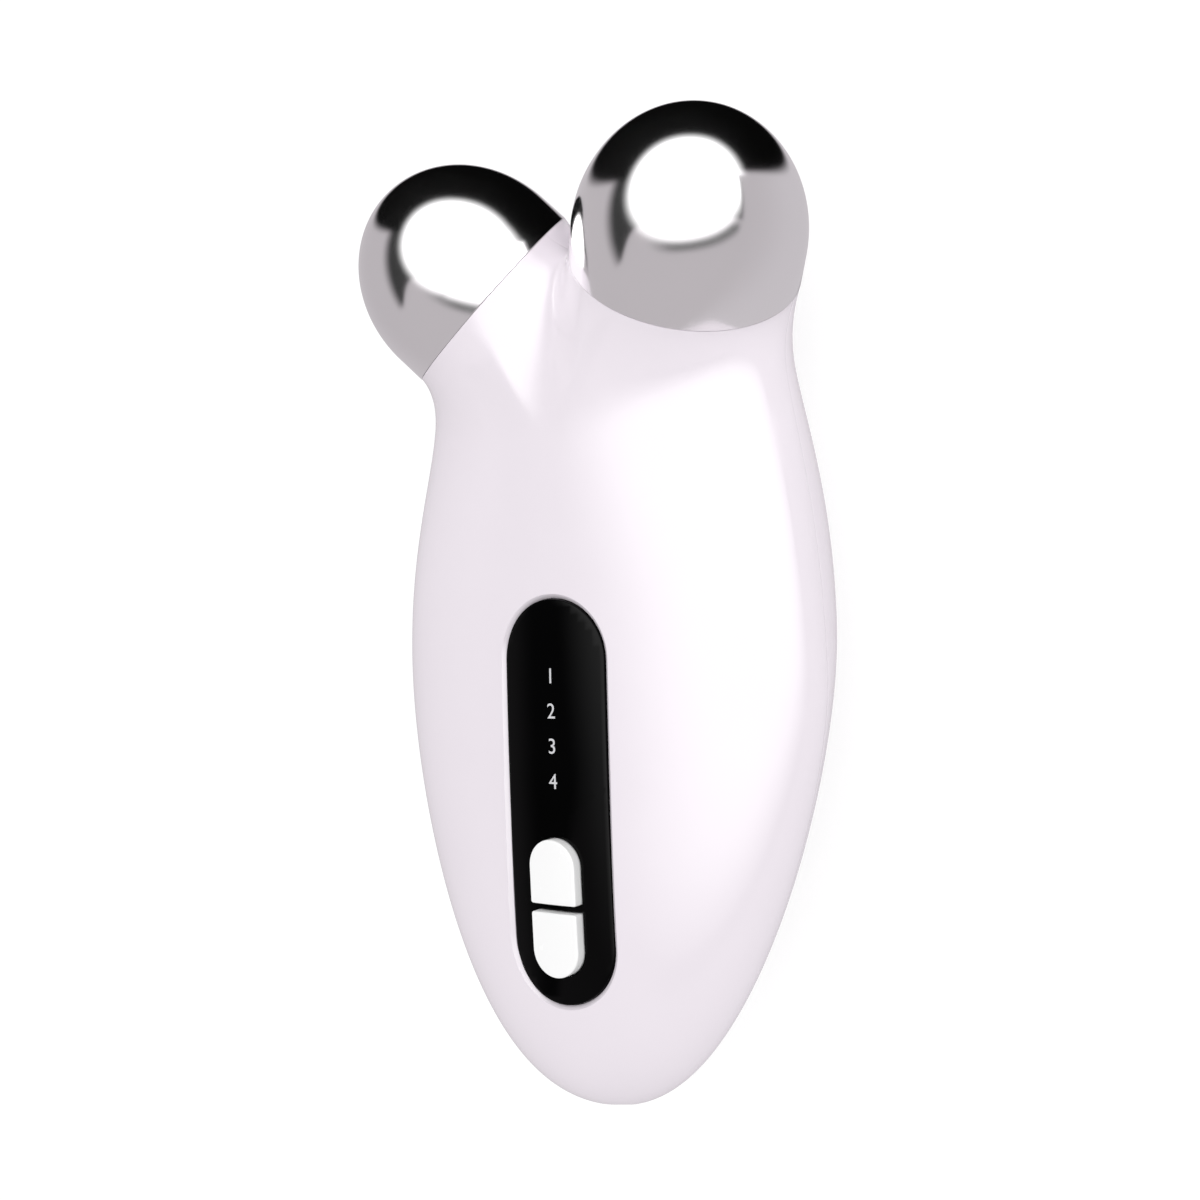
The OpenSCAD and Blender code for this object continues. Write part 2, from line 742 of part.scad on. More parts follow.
module control_chips() color("#222222") placed()
  translate([0, -chips_drop, board_z - board_t]) {
    translate([-8, -1.5, -main_chip.z]) cube(main_chip);
    for (y = [-3.5, 6.5]) translate([3, y, -power_chip.z])
      cube(power_chip);
    for (i = [0 : 5]) translate([-9 + small_pitch * i, -4.6, -small_chip.z])
      cube(small_chip);
  }

module boost_transformer() color("darkgoldenrod") placed()
  translate([6.8, 3.6 - case_screw_drop, board_z]) {
    for (z = [0, coil_h - coil_plate])
      translate([-coil_w / 2, -coil_w / 2, z])
        cube([coil_w, coil_w, coil_plate]);
    cylinder(h = coil_h - coil_plate / 2, r = coil_r);
  }

module buzzer() color("#1c1c1c") placed()
  translate([-7, 4.2 - case_screw_drop, board_z]) difference() {
    cylinder(h = buzzer_h, r = buzzer_r);
    translate([0, 0, buzzer_h - 1]) cylinder(h = 2, r = buzzer_hole);
  }

module battery_connector() color("ivory") placed()
  translate([-plug.x / 2, -battery_drop - 11.5, connector_z()])
    cube([plug.x, plug.y, connector_h]);

socket_front = 0.6;
socket_deep = 6.8;
socket_end = 9;
tongue = [6.7, 4.6, 0.7];

module charge_socket() color("silver") placed() difference() {
  port(port_w + 2 * socket_wall, port_h + 2 * socket_wall,
    socket_front - tip_drop, socket_end - tip_drop);
  port(port_w, port_h, -tip_drop, socket_deep - tip_drop);
}

module charge_tongue() color("black") placed()
  translate([-tongue.x / 2, socket_deep - tongue.y - tip_drop,
      socket_z() - tongue.z / 2])
    cube(tongue);

/* ---- battery ---- */

module battery() color("lightsteelblue") placed()
  translate([-battery_w / 2, -battery_drop - battery_len / 2, battery_z])
    cube([battery_w, battery_len, battery_t]);

module battery_cradle() color("#303030") placed()
  translate([0, -battery_drop, battery_z - cradle_floor]) difference() {
    translate([-battery_w / 2 - cradle_wall,
        -battery_len / 2 - cradle_wall, 0])
      cube([battery_w + 2 * cradle_wall, battery_len + 2 * cradle_wall, 4]);
    translate([-battery_w / 2 - 0.1, -battery_len / 2 - 0.1, cradle_floor])
      cube([battery_w + 0.2, battery_len + 0.2, 4]);
    translate([-7, -9, -1]) cube([14, 18, 4]);
  }

front_shell();
rear_shell();
display_window();
window_tape();
upper_button();
lower_button();
upper_switch_plunger();
lower_switch_plunger();
upper_switch();
lower_switch();
left_dome();
right_dome();
left_dome_carrier();
right_dome_carrier();
left_dome_seal();
right_dome_seal();
left_dome_screw();
right_dome_screw();
left_heater();
right_heater();
left_lead();
right_lead();
main_board();
light_frame();
mode_leds();
control_chips();
boost_transformer();
buzzer();
board_screws();
case_screw();
battery();
battery_cradle();
battery_lead();
battery_connector();
charge_socket();
charge_tongue();
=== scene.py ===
import math
import bpy
import bmesh
from mathutils import Matrix, Vector
from mathutils.bvhtree import BVHTree


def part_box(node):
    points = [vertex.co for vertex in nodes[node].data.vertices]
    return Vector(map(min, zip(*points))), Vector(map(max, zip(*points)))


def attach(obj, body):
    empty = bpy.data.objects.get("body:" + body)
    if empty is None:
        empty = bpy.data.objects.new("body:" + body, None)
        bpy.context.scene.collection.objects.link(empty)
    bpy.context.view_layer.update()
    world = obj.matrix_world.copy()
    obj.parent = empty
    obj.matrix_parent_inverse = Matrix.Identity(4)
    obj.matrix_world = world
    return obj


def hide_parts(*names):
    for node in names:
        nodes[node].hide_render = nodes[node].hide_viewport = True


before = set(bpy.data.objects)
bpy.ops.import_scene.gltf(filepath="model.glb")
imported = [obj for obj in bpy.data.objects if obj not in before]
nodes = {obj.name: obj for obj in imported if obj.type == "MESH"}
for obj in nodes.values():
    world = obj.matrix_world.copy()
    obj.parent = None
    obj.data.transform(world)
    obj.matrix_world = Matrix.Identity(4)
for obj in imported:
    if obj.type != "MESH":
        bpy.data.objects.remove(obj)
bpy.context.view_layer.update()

mm = 0.001  # metres
cutSharp = 32  # degrees: edges of the cut pieces stay sharp above it
print("frame loaded:", len(nodes), "nodes")


# Camera

camera = {
    "place": (104.65, -1.00, 168.62),
    "right": (0.81742, -0.02621, -0.57545),
    "up": (0.03360, 0.99943, 0.00221),
    "forward": (-0.57506, 0.02114, -0.81783),
    "lens": 43.42,
    "sensor": 36,
    "clip": (0.01, 10),
}

camData = bpy.data.cameras.new("camera")
camData.lens = camera["lens"]
camData.sensor_width = camera["sensor"]
camData.clip_start, camData.clip_end = camera["clip"]
camObject = bpy.data.objects.new("camera", camData)
bpy.context.scene.collection.objects.link(camObject)
back = -Vector(camera["forward"])
turn = Matrix((camera["right"], camera["up"], back)).transposed().to_4x4()
camObject.matrix_world = Matrix.Translation(Vector(camera["place"]) * mm) @ turn
bpy.context.scene.camera = camObject
print("camera placed")


# Small helpers for meshes

def smoothed(piece, sharpDeg):
    mesh = piece.data
    mesh.polygons.foreach_set("use_smooth", [True] * len(mesh.polygons))
    mesh.set_sharp_from_angle(angle=math.radians(sharpDeg))


def newPiece(name, bm, sharpDeg=35):
    bmesh.ops.remove_doubles(bm, verts=bm.verts, dist=1e-7)
    mesh = bpy.data.meshes.new(name)
    bm.to_mesh(mesh)
    bm.free()
    piece = bpy.data.objects.new(name, mesh)
    bpy.context.scene.collection.objects.link(piece)
    smoothed(piece, sharpDeg)
    return piece


def dropped(piece):
    mesh = piece.data
    bpy.data.objects.remove(piece)
    bpy.data.meshes.remove(mesh)


def baked(piece):
    graph = bpy.context.evaluated_depsgraph_get()
    mesh = bpy.data.meshes.new_from_object(piece.evaluated_get(graph))
    piece.modifiers.clear()
    old = piece.data
    piece.data = mesh
    bpy.data.meshes.remove(old)


def cutWith(piece, tool, how="DIFFERENCE"):
    change = piece.modifiers.new("change", "BOOLEAN")
    change.object = tool
    change.operation = how
    change.solver = "MANIFOLD"
    baked(piece)
    dropped(tool)


def sliced(bm, place, normal, clear=False):
    return bmesh.ops.bisect_plane(bm, geom=bm.verts[:] + bm.edges[:] + bm.faces[:],
                                  plane_co=place, plane_no=normal, clear_outer=clear)


# The body's surface: the same rails as the solids, in millimetres

body = {
    "tipDrop": 105, "tipZ": -4.2,
    "bellyHalfW": 31, "bellyDrop": 52.5, "bellyZ": -4.0,
    "waistHalfW": 26.3, "waistDrop": 17, "waistZ": -5.2, "waistLean": 8.5,
    "tipFull": 19, "bellyReachLow": 13, "bellyReachHigh": 17, "waistReach": 5.6,
    "tipFullFront": 12.5, "tipFullBack": 8,
    "frontZ": 7.1, "frontDrop": 42, "frontReachLow": 48, "frontReachHigh": 8,
    "saddleFrontZ": 7.0, "saddleFrontDrop": 23, "saddleFrontReach": 7, "saddleFrontSlope": -1,
    "backDepth": 23.2, "backDrop": 30, "backReachLow": 22, "backReachHigh": 7,
    "saddleBackDepth": 20.4, "saddleBackDrop": 12, "saddleBackReach": 6, "saddleBackSlope": 17,
    "crotchY": 1.5, "crotchZ": -2,
    "saddlePull": 0.5, "crotchPull": (0.32, -0.42), "neckPull": (0.52, 0.35), "collarPull": 0.12,
    "collarHalf": (120, 114),
    "wall": 1.6, "tipWall": 0.1, "tipWallReach": 12, "seamRound": 0.03, "seamSteps": 2, "seamDeg": 60,
    "bellyRows": 16, "waistRows": 8, "neckRows": 9, "bellyCols": 16, "saddleCols": 9,
}
dome = {
    "radius": 14, "height": 15.5, "halfGap": 16.53, "collar": 14.07, "skirt": 3.55,
    "splay": math.radians(30.25), "lean": math.radians(38.2), "wall": 1.2, "seam": 0.05,
    "steps": 160, "arcSteps": 40, "innerSteps": 12, "rimRound": 0.06,
    "seat": (6.8, 9.4), "post": (2.6, -0.45), "bore": (1.0, 8.0),
}

armOf = Vector((math.sin(dome["splay"]),
                math.cos(dome["splay"]) * math.cos(dome["lean"]),
                math.cos(dome["splay"]) * math.sin(dome["lean"])))
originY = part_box("front_shell")[0][1] / mm + body["tipDrop"]
origin = Vector((0, originY, body["backDepth"]))


def bezier(p, t):
    s = 1 - t
    return s**3 * p[0] + 3 * t * s * s * p[1] + 3 * t * t * s * p[2] + t**3 * p[3]


def bezierStep(p, t):
    s = 1 - t
    return 3 * (s * s * (p[1] - p[0]) + 2 * t * s * (p[2] - p[1]) + t * t * (p[3] - p[2]))


def saddleDir(front):
    a = math.radians(body["saddleFrontSlope"] if front else body["saddleBackSlope"])
    return Vector((0, math.cos(a), math.sin(a)))


def sideRail():
    tip = Vector((0, -body["tipDrop"], body["tipZ"]))
    belly = Vector((body["bellyHalfW"], -body["bellyDrop"], body["bellyZ"]))
    waist = Vector((body["waistHalfW"], -body["waistDrop"], body["waistZ"]))
    a = math.radians(body["waistLean"])
    up = Vector((-math.sin(a), math.cos(a), 0))
    fromTip = tip + Vector((body["tipFull"], 0, 0))
    toBelly = belly - Vector((0, body["bellyReachLow"], 0))
    fromBelly = belly + Vector((0, body["bellyReachHigh"], 0))
    return [[tip, fromTip, toBelly, belly], [belly, fromBelly, waist - body["waistReach"] * up, waist]]


def crownRail(front):
    tip = Vector((0, -body["tipDrop"], body["tipZ"]))
    up = saddleDir(front)
    if front:
        top = Vector((0, -body["frontDrop"], body["frontZ"]))
        end = Vector((0, -body["saddleFrontDrop"], body["saddleFrontZ"]))
        full, reach = body["tipFullFront"], body["saddleFrontReach"]
        low, high = body["frontReachLow"], body["frontReachHigh"]
    else:
        top = Vector((0, -body["backDrop"], -body["backDepth"]))
        end = Vector((0, -body["saddleBackDrop"], -body["saddleBackDepth"]))
        full, reach = -body["tipFullBack"], body["saddleBackReach"]
        low, high = body["backReachLow"], body["backReachHigh"]
    return [[tip, tip + Vector((0, 0, full)), top - Vector((0, low, 0)), top],
            [top, top + Vector((0, high, 0)), end - reach * up, end]]


rails = {"side": sideRail(), True: crownRail(True), False: crownRail(False)}


def onRail(rail, s):
    return bezier(rail[0], s) if s < 1 else bezier(rail[1], s - 1)


def ringPoint(q, f, theta):
    c, s = math.cos(theta), math.sin(theta)
    return Vector((q.x * c, q.y + (f.y - q.y) * s, q.z + (f.z - q.z) * s))


def bellyPoint(s, theta, front):
    return ringPoint(onRail(rails["side"], s), onRail(rails[front], s), theta)


def saddleArc(front):
    start = rails[front][1][3]
    top = Vector((0, body["crotchY"], body["crotchZ"]))
    reach = (top - start).length
    lift = body["crotchPull"][0 if front else 1]
    return [start, start + saddleDir(front) * reach * body["saddlePull"],
            top + Vector((0, 0, reach * lift)), top]


def railStart(k, front):
    # k runs from 0 at the side over 1 at the middle to 2 at the top of the saddle
    if k <= 1:
        return bellyPoint(2, math.pi / 2 * k, front)
    return bezier(saddleArc(front), k - 1)


def railDir(k, front):
    if k <= 1:
        theta = math.pi / 2 * k
        rail, side = rails[front][1], rails["side"][1]
        blend = max(0, 2 * k - 1)**2 / 2
        out = Vector((side[3].x * math.sin(theta),
                      (side[3].y - rail[3].y) * math.cos(theta),
                      (side[3].z - rail[3].z) * math.cos(theta))).normalized()
        along = ringPoint(bezierStep(side, 1), bezierStep(rail, 1), theta).normalized()
        return along.lerp(out, blend).normalized()
    blend = max(0, 1 - 2 * (k - 1))**2 / 2
    along = bezierStep(saddleArc(front), k - 1).normalized()
    return Vector((1, 0, 0)).lerp(along, blend).normalized()


def collarPoint(k, front):
    half = body["collarHalf"][0 if front else 1]
    a = math.radians(half * k if k <= 1 else half + (180 - half) * (k - 1))
    sSplay, cSplay = math.sin(dome["splay"]), math.cos(dome["splay"])
    sLean, cLean = math.sin(dome["lean"]), math.cos(dome["lean"])
    out = Vector((cSplay, -sSplay * cLean, -sSplay * sLean))
    forward = Vector((0, -sLean, cLean))
    middle = Vector((dome["halfGap"], 0, 0)) - armOf * dome["skirt"]
    side = 1 if front else -1
    return middle + dome["collar"] * (math.cos(a) * out + side * math.sin(a) * forward)


def neckPoint(k, t, front, share):
    start, end = railStart(k, front), collarPoint(k, front)
    reach = (end - start).length
    pull = body["neckPull"][0] + (body["neckPull"][1] - body["neckPull"][0]) * share
    return bezier([start, start + railDir(k, front) * reach * pull,
                   end - armOf * reach * body["collarPull"], end], t)


def surfacePatch(bm, cols, rows, place, half):
    made = bmesh.ops.create_grid(bm, x_segments=cols, y_segments=rows, size=0.5)
    for v in made["verts"]:
        v.co = (place(v.co.x + 0.5, v.co.y + 0.5) + origin) * mm
    for f in {f for v in made["verts"] for f in v.link_faces}:
        f.material_index = half


def bodySurface():
    # half 0 is the front and half 1 the rear, kept as the faces' material number
    bm = bmesh.new()
    bellyRows, waistRows = body["bellyRows"], body["waistRows"]
    bellyCols, saddleCols = body["bellyCols"], body["saddleCols"]
    total = bellyCols + saddleCols
    for half, front in enumerate((True, False)):
        def belly(u, v):
            i = v * (bellyRows + waistRows)
            s = i / bellyRows if i <= bellyRows else 1 + (i - bellyRows) / waistRows
            return bellyPoint(s, math.pi / 2 * u, front)

        def neck(u, v):
            i = u * total
            k = i / bellyCols if i <= bellyCols else 1 + (i - bellyCols) / saddleCols
            return neckPoint(k, v, front, u)

        surfacePatch(bm, bellyCols, bellyRows + waistRows, belly, half)
        surfacePatch(bm, total, body["neckRows"], neck, half)
    bmesh.ops.remove_doubles(bm, verts=bm.verts, dist=0.02 * mm)
    for v in bm.verts:
        if abs(v.co.x) < 0.01 * mm:
            v.co.x = 0
    bmesh.ops.mirror(bm, geom=bm.verts[:] + bm.edges[:] + bm.faces[:], axis="X", merge_dist=0.02 * mm)
    bmesh.ops.dissolve_degenerate(bm, edges=bm.edges, dist=0.01 * mm)
    bmesh.ops.recalc_face_normals(bm, faces=bm.faces)
    return bm


# Outlines of the window and the buttons, in the window's own frame, in millimetres

window = {
    "len": 48.6, "width": 14.7, "drop": 66.5, "z": 7.25, "thick": 1.9,
    "crown": 36, "bow": 600, "half": 30, "slope": math.radians(1.1),
    "edgeRound": 0.18, "steps": 168, "cut": 0.97, "cuts": (7, 25),
}
pocket = {
    "clear": 0.1, "chamfer": 0.5, "deep": 2.05, "floor": 1.3, "above": 3, "castFrom": 6,
    "seatSpare": 2.4, "seatCover": 0.1, "seatSteps": 96, "passageSpare": 0.5, "passageSpan": (-5, -1),
}
keys = {
    "len": 16.5, "width": 6.6, "margin": 3.5, "gap": 1.0, "proud": 1.25, "clear": 0.15,
    "flange": 0.7, "flangeThick": 0.8, "corner": 0.3, "edgeRound": 0.22, "steps": 220,
    "cut": 0.71, "cuts": (4, 11), "holeSpan": (-3, 2), "straightDeg": 0.3,
    "stem": 1.5, "stemSteps": 48, "under": 0.1, "skirt": 0.2,
}
windowFrame = (Matrix.Scale(mm, 4)
               @ Matrix.Translation(origin + Vector((0, -window["drop"], window["z"])))
               @ Matrix.Rotation(window["slope"], 4, "X"))
keysY = -window["len"] / 2 + keys["margin"] + keys["len"] / 2


def crownDrop(x, y):
    # the glass is the top of an ellipsoid: crowned across, bowed along
    h = window["half"]
    return h - h * math.sqrt(1 - x * x / (h * window["crown"]) - y * y / (h * window["bow"]))


def pillPoint(length, width, share):
    straight, r = length - width, width / 2
    arc = math.pi * r
    d = share * 2 * (straight + arc)
    if d < straight / 2:
        return r, d
    d -= straight / 2
    if d < arc:
        return r * math.cos(d / r), straight / 2 + r * math.sin(d / r)
    d -= arc
    if d < straight:
        return -r, straight / 2 - d
    d -= straight
    if d < arc:
        return -r * math.cos(d / r), -straight / 2 - r * math.sin(d / r)
    return r, d - arc - straight / 2


def pillRing(bm, length, width, height, steps, shiftY=0, cap=False):
    made = bmesh.ops.create_circle(bm, cap_ends=cap, segments=steps, radius=1)["verts"]
    for i, v in enumerate(made):
        x, y = pillPoint(length, width, i / steps)
        v.co = (x, y + shiftY, height(x, y + shiftY))
    return list({e for v in made for e in v.link_edges})


def pillTower(levels, steps, shiftY=0):
    # levels from the lowest up: length, width, height; the first and the last are capped
    bm = bmesh.new()
    last = None
    for n, (length, width, height) in enumerate(levels):
        ring = pillRing(bm, length, width, height, steps, shiftY, cap=n in (0, len(levels) - 1))
        if last:
            bmesh.ops.bridge_loops(bm, edges=last + ring)
        last = ring
    bmesh.ops.triangulate(bm, faces=[f for f in bm.faces if len(f.verts) > 4])
    bmesh.ops.recalc_face_normals(bm, faces=bm.faces)
    return bm


def level(z):
    return lambda x, y: z


def placedTool(name, bm, place):
    bmesh.ops.transform(bm, matrix=place, verts=bm.verts)
    return newPiece(name, bm)


# The two shells

whole = newPiece("bodyWhole", bodySurface())
soften = whole.modifiers.new("soften", "SUBSURF")
soften.levels = soften.render_levels = 2
soften.boundary_smooth = "PRESERVE_CORNERS"
baked(whole)
print("body surface:", len(whole.data.polygons), "faces")


def shellHalf(name, half):
    bm = bmesh.new()
    bm.from_mesh(whole.data)
    other = [f for f in bm.faces if f.material_index != half]
    bmesh.ops.delete(bm, geom=other, context="FACES")
    for f in bm.faces:
        f.material_index = 0
    shell = newPiece(name, bm)
    thick = shell.modifiers.new("wall", "SOLIDIFY")
    thick.thickness = body["wall"] * mm
    thick.offset = -1
    thick.use_quality_normals = True
    group = shell.vertex_groups.new(name="wall")
    tip = -body["tipDrop"] + origin.y
    for v in shell.data.vertices:
        group.add([v.index], min(1, (v.co.y / mm - tip) / body["tipWallReach"]), "REPLACE")
    thick.vertex_group = "wall"
    thick.thickness_vertex_group = body["tipWall"]
    rim = shell.modifiers.new("rim", "BEVEL")
    rim.width = body["seamRound"] * mm
    rim.segments = body["seamSteps"]
    rim.limit_method = "ANGLE"
    rim.angle_limit = math.radians(body["seamDeg"])
    baked(shell)
    shell.vertex_groups.clear()
    return shell


frontShell = shellHalf("frontShellSkin", 0)
rearShell = shellHalf("rearShellSkin", 1)

bm = bmesh.new()
bm.from_mesh(whole.data)
bodyTree = BVHTree.FromBMesh(bm)
bm.free()
fromAbove = -(windowFrame.to_3x3() @ Vector((0, 0, 1))).normalized()


def bodyAbove(extra):
    # height of the body's surface in the window's frame, raised by extra
    def height(x, y):
        hit = bodyTree.ray_cast(windowFrame @ Vector((x, y, pocket["castFrom"])), fromAbove)[0]
        return (windowFrame.inverted() @ hit).z + extra
    return height


def grown(shape, spare, height):
    # one level of a tower: a pill of the shape's size with spare room
    return (shape["len"] + spare, shape["width"] + spare, height)


def windowPocket(shell):
    seatTop, seatLow = pocket["seatCover"] - pocket["deep"], -pocket["deep"] - pocket["floor"]
    seat = [grown(window, pocket["seatSpare"], level(z)) for z in (seatLow, seatTop)]
    cutWith(shell, placedTool("seat", pillTower(seat, pocket["seatSteps"]), windowFrame), "UNION")
    inside = 2 * pocket["clear"]
    outside = inside + 4 * pocket["chamfer"]
    opening = [
        grown(window, inside, level(-pocket["deep"])),
        grown(window, inside, bodyAbove(-pocket["chamfer"])),
        grown(window, outside, bodyAbove(pocket["chamfer"])),
        grown(window, outside, level(pocket["above"])),
    ]
    cutWith(shell, placedTool("opening", pillTower(opening, window["steps"]), windowFrame))
    spare = 2 * keys["flange"] + pocket["passageSpare"]
    passage = [grown(keys, spare, level(z)) for z in pocket["passageSpan"]]
    cutWith(shell, placedTool("passage", pillTower(passage, pocket["seatSteps"], keysY), windowFrame))


# The charging port's frame starts outside the tip and runs into the body
port = {
    "width": 8.34 + 0.8, "height": 2.56 + 0.8, "z": -1.88, "outside": 2, "deep": 7, "steps": 64,
    "wallWide": 1.1, "wallHigh": 0.5, "collarEnd": 5.4, "sink": 0.05,
}
atPort = (Matrix.Scale(mm, 4)
          @ Matrix.Translation(origin + Vector((0, -body["tipDrop"] - port["outside"], port["z"])))
          @ Matrix.Rotation(math.radians(-90), 4, "X")
          @ Matrix.Rotation(math.radians(90), 4, "Z"))
intoTip = (atPort.to_3x3() @ Vector((0, 0, 1))).normalized()


def tipDepth(x, y):
    # where the tip's surface lies along the port's axis, a little sunk
    hit = bodyTree.ray_cast(atPort @ Vector((x, y, -1)), intoTip)[0]
    return (atPort.inverted() @ hit).z + port["sink"]


def chargingPort(shell):
    wide, high = port["width"] + 2 * port["wallWide"], port["height"] + 2 * port["wallHigh"]
    collar = [(wide, high, far) for far in (tipDepth, level(port["collarEnd"]))]
    cutWith(shell, placedTool("collar", pillTower(collar, port["steps"]), atPort), "UNION")
    mouth = [(port["width"], port["height"], level(z)) for z in (0, port["deep"])]
    cutWith(shell, placedTool("mouth", pillTower(mouth, port["steps"]), atPort))


windowPocket(frontShell)
chargingPort(frontShell)
for shell in (frontShell, rearShell):
    smoothed(shell, cutSharp)
    print(shell.name, len(shell.data.polygons), "faces")
bpy.data.objects.remove(whole)


# Flat blanks for the window and the buttons

def keyBlank(bm, grow, upper, edge, round=0):
    # the face of one button's outline at height 0, grown all round
    side = 1 if upper else -1
    straight = side * (keys["gap"] / 2 - edge)
    bmesh.ops.create_circle(bm, cap_ends=True, segments=keys["steps"], radius=1)
    for i, v in enumerate(bm.verts):
        x, y = pillPoint(keys["len"] + 2 * grow, keys["width"] + 2 * grow, i / keys["steps"])
        v.co = (x, y, 0)
    sliced(bm, (0, straight, 0), (0, -side, 0), clear=True)
    straightAngle = math.radians(keys["straightDeg"])
    bmesh.ops.dissolve_limit(bm, angle_limit=straightAngle, verts=bm.verts, edges=bm.edges)
    if round:
        onCut = [v for v in bm.verts if abs(v.co.y - straight) < 0.01]
        corners = [v for v in onCut if abs(v.co.x) > keys["width"] / 4]
        bmesh.ops.bevel(bm, geom=corners, offset=round, offset_type="OFFSET", affect="VERTICES",
                        segments=5, profile=0.5, material=-1)
    for v in bm.verts:
        v.co.y += keysY


def raised(bm, low, high):
    # the flat outline becomes a slab from low to high
    for v in bm.verts:
        v.co.z = high
    made = bmesh.ops.extrude_face_region(bm, geom=bm.faces[:])
    for v in made["geom"]:
        if isinstance(v, bmesh.types.BMVert):
            v.co.z = low
    bmesh.ops.recalc_face_normals(bm, faces=bm.faces)


def keySolid(name, grow, upper, edge, low, high):
    bm = bmesh.new()
    keyBlank(bm, grow, upper, edge)
    raised(bm, low, high)
    return placedTool(name, bm, windowFrame)


def topRounded(bm, high, radius, segments):
    top = [e for e in bm.edges if all(abs(v.co.z - high) < 0.01 for v in e.verts)]
    bmesh.ops.bevel(bm, geom=top, offset=radius, offset_type="OFFSET", affect="EDGES",
                    segments=segments, profile=0.5, material=-1)


def crowned(bm, step, cutsX, cutsY, middleY=0):
    # the flat top is cut into a grid and let down onto the glass's curve
    for i in range(-cutsX, cutsX + 1):
        sliced(bm, (i * step, 0, 0), (1, 0, 0))
    for i in range(-cutsY, cutsY + 1):
        sliced(bm, (0, middleY + i * step, 0), (0, 1, 0))
    for v in bm.verts:
        if v.co.z > -window["thick"] / 2:
            v.co.z -= crownDrop(v.co.x, v.co.y)


# Window

def windowLens():
    bm = bmesh.new()
    bmesh.ops.create_circle(bm, cap_ends=True, segments=window["steps"], radius=1)
    for i, v in enumerate(bm.verts):
        v.co = (*pillPoint(window["len"], window["width"], i / window["steps"]), 0)
    raised(bm, -window["thick"], 0)
    topRounded(bm, 0, window["edgeRound"], 3)
    pane = placedTool("windowLens", bm, windowFrame)
    for upper in (True, False):
        cutWith(pane, keySolid("keyHole", keys["clear"], upper, keys["clear"], *keys["holeSpan"]))
    bm = bmesh.new()
    bm.from_mesh(pane.data)
    bmesh.ops.transform(bm, matrix=windowFrame.inverted(), verts=bm.verts)
    crowned(bm, window["cut"], *window["cuts"])
    bmesh.ops.transform(bm, matrix=windowFrame, verts=bm.verts)
    bm.to_mesh(pane.data)
    bm.free()
    smoothed(pane, cutSharp)
    return pane


lens = windowLens()
print("window:", len(lens.data.polygons), "faces")


# Buttons

def keyCap(name, upper):
    bm = bmesh.new()
    keyBlank(bm, 0, upper, 0, keys["corner"])
    raised(bm, -window["thick"] - keys["skirt"], keys["proud"])
    topRounded(bm, keys["proud"], keys["edgeRound"], 4)
    crowned(bm, keys["cut"], *keys["cuts"], keysY)
    cap = placedTool(name, bm, windowFrame)
    low = -window["thick"] - keys["under"]
    cutWith(cap, keySolid("flange", keys["flange"], upper, 0, low - keys["flangeThick"], low), "UNION")
    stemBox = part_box("upper_switch_plunger" if upper else "lower_switch_plunger")
    stemTop = (origin.z + window["z"] - window["thick"] - keys["flangeThick"] / 2) * mm
    middle = (Vector(stemBox[0]) + Vector(stemBox[1])) / 2
    depth = stemTop - stemBox[1][2]
    radius = keys["stem"] * mm
    place = Matrix.Translation((middle.x, middle.y, stemTop - depth / 2))
    bm = bmesh.new()
    bmesh.ops.create_cone(bm, cap_ends=True, segments=keys["stemSteps"], radius1=radius, radius2=radius,
                          depth=depth, matrix=place)
    cutWith(cap, newPiece("stem", bm), "UNION")
    smoothed(cap, cutSharp)
    return cap


upperCap = keyCap("upperButtonCap", True)
lowerCap = keyCap("lowerButtonCap", False)
print("buttons:", len(upperCap.data.polygons), "and", len(lowerCap.data.polygons), "faces")


# Plain numbers printed on the glass, one over each mode light
numbers = {"size": 2.6, "first": 15.0, "pitch": 4.2, "count": 4, "thick": 0.02, "lift": 0.012}


def windowNumbers():
    bm = bmesh.new()
    for i in range(numbers["count"]):
        curve = bpy.data.curves.new("number", "FONT")
        curve.body = str(i + 1)
        curve.size = numbers["size"]
        curve.align_x = "CENTER"
        curve.align_y = "CENTER"
        curve.extrude = numbers["thick"] / 2
        curve.resolution_u = 6
        text = bpy.data.objects.new("number", curve)
        bpy.context.scene.collection.objects.link(text)
        graph = bpy.context.evaluated_depsgraph_get()
        mesh = bpy.data.meshes.new_from_object(text.evaluated_get(graph))
        start = len(bm.verts)
        bm.from_mesh(mesh)
        bm.verts.ensure_lookup_table()
        for v in bm.verts[start:]:
            y = v.co.y + numbers["first"] - i * numbers["pitch"]
            v.co = (v.co.x, y, v.co.z + numbers["lift"] - numbers["thick"] / 2 - crownDrop(v.co.x, y))
        bpy.data.objects.remove(text)
        bpy.data.curves.remove(curve)
        bpy.data.meshes.remove(mesh)
    bmesh.ops.remove_doubles(bm, verts=bm.verts, dist=0.001)
    return placedTool("windowNumbers", bm, windowFrame)


marks = windowNumbers()
print("numbers:", len(marks.data.polygons), "faces")


# Domes

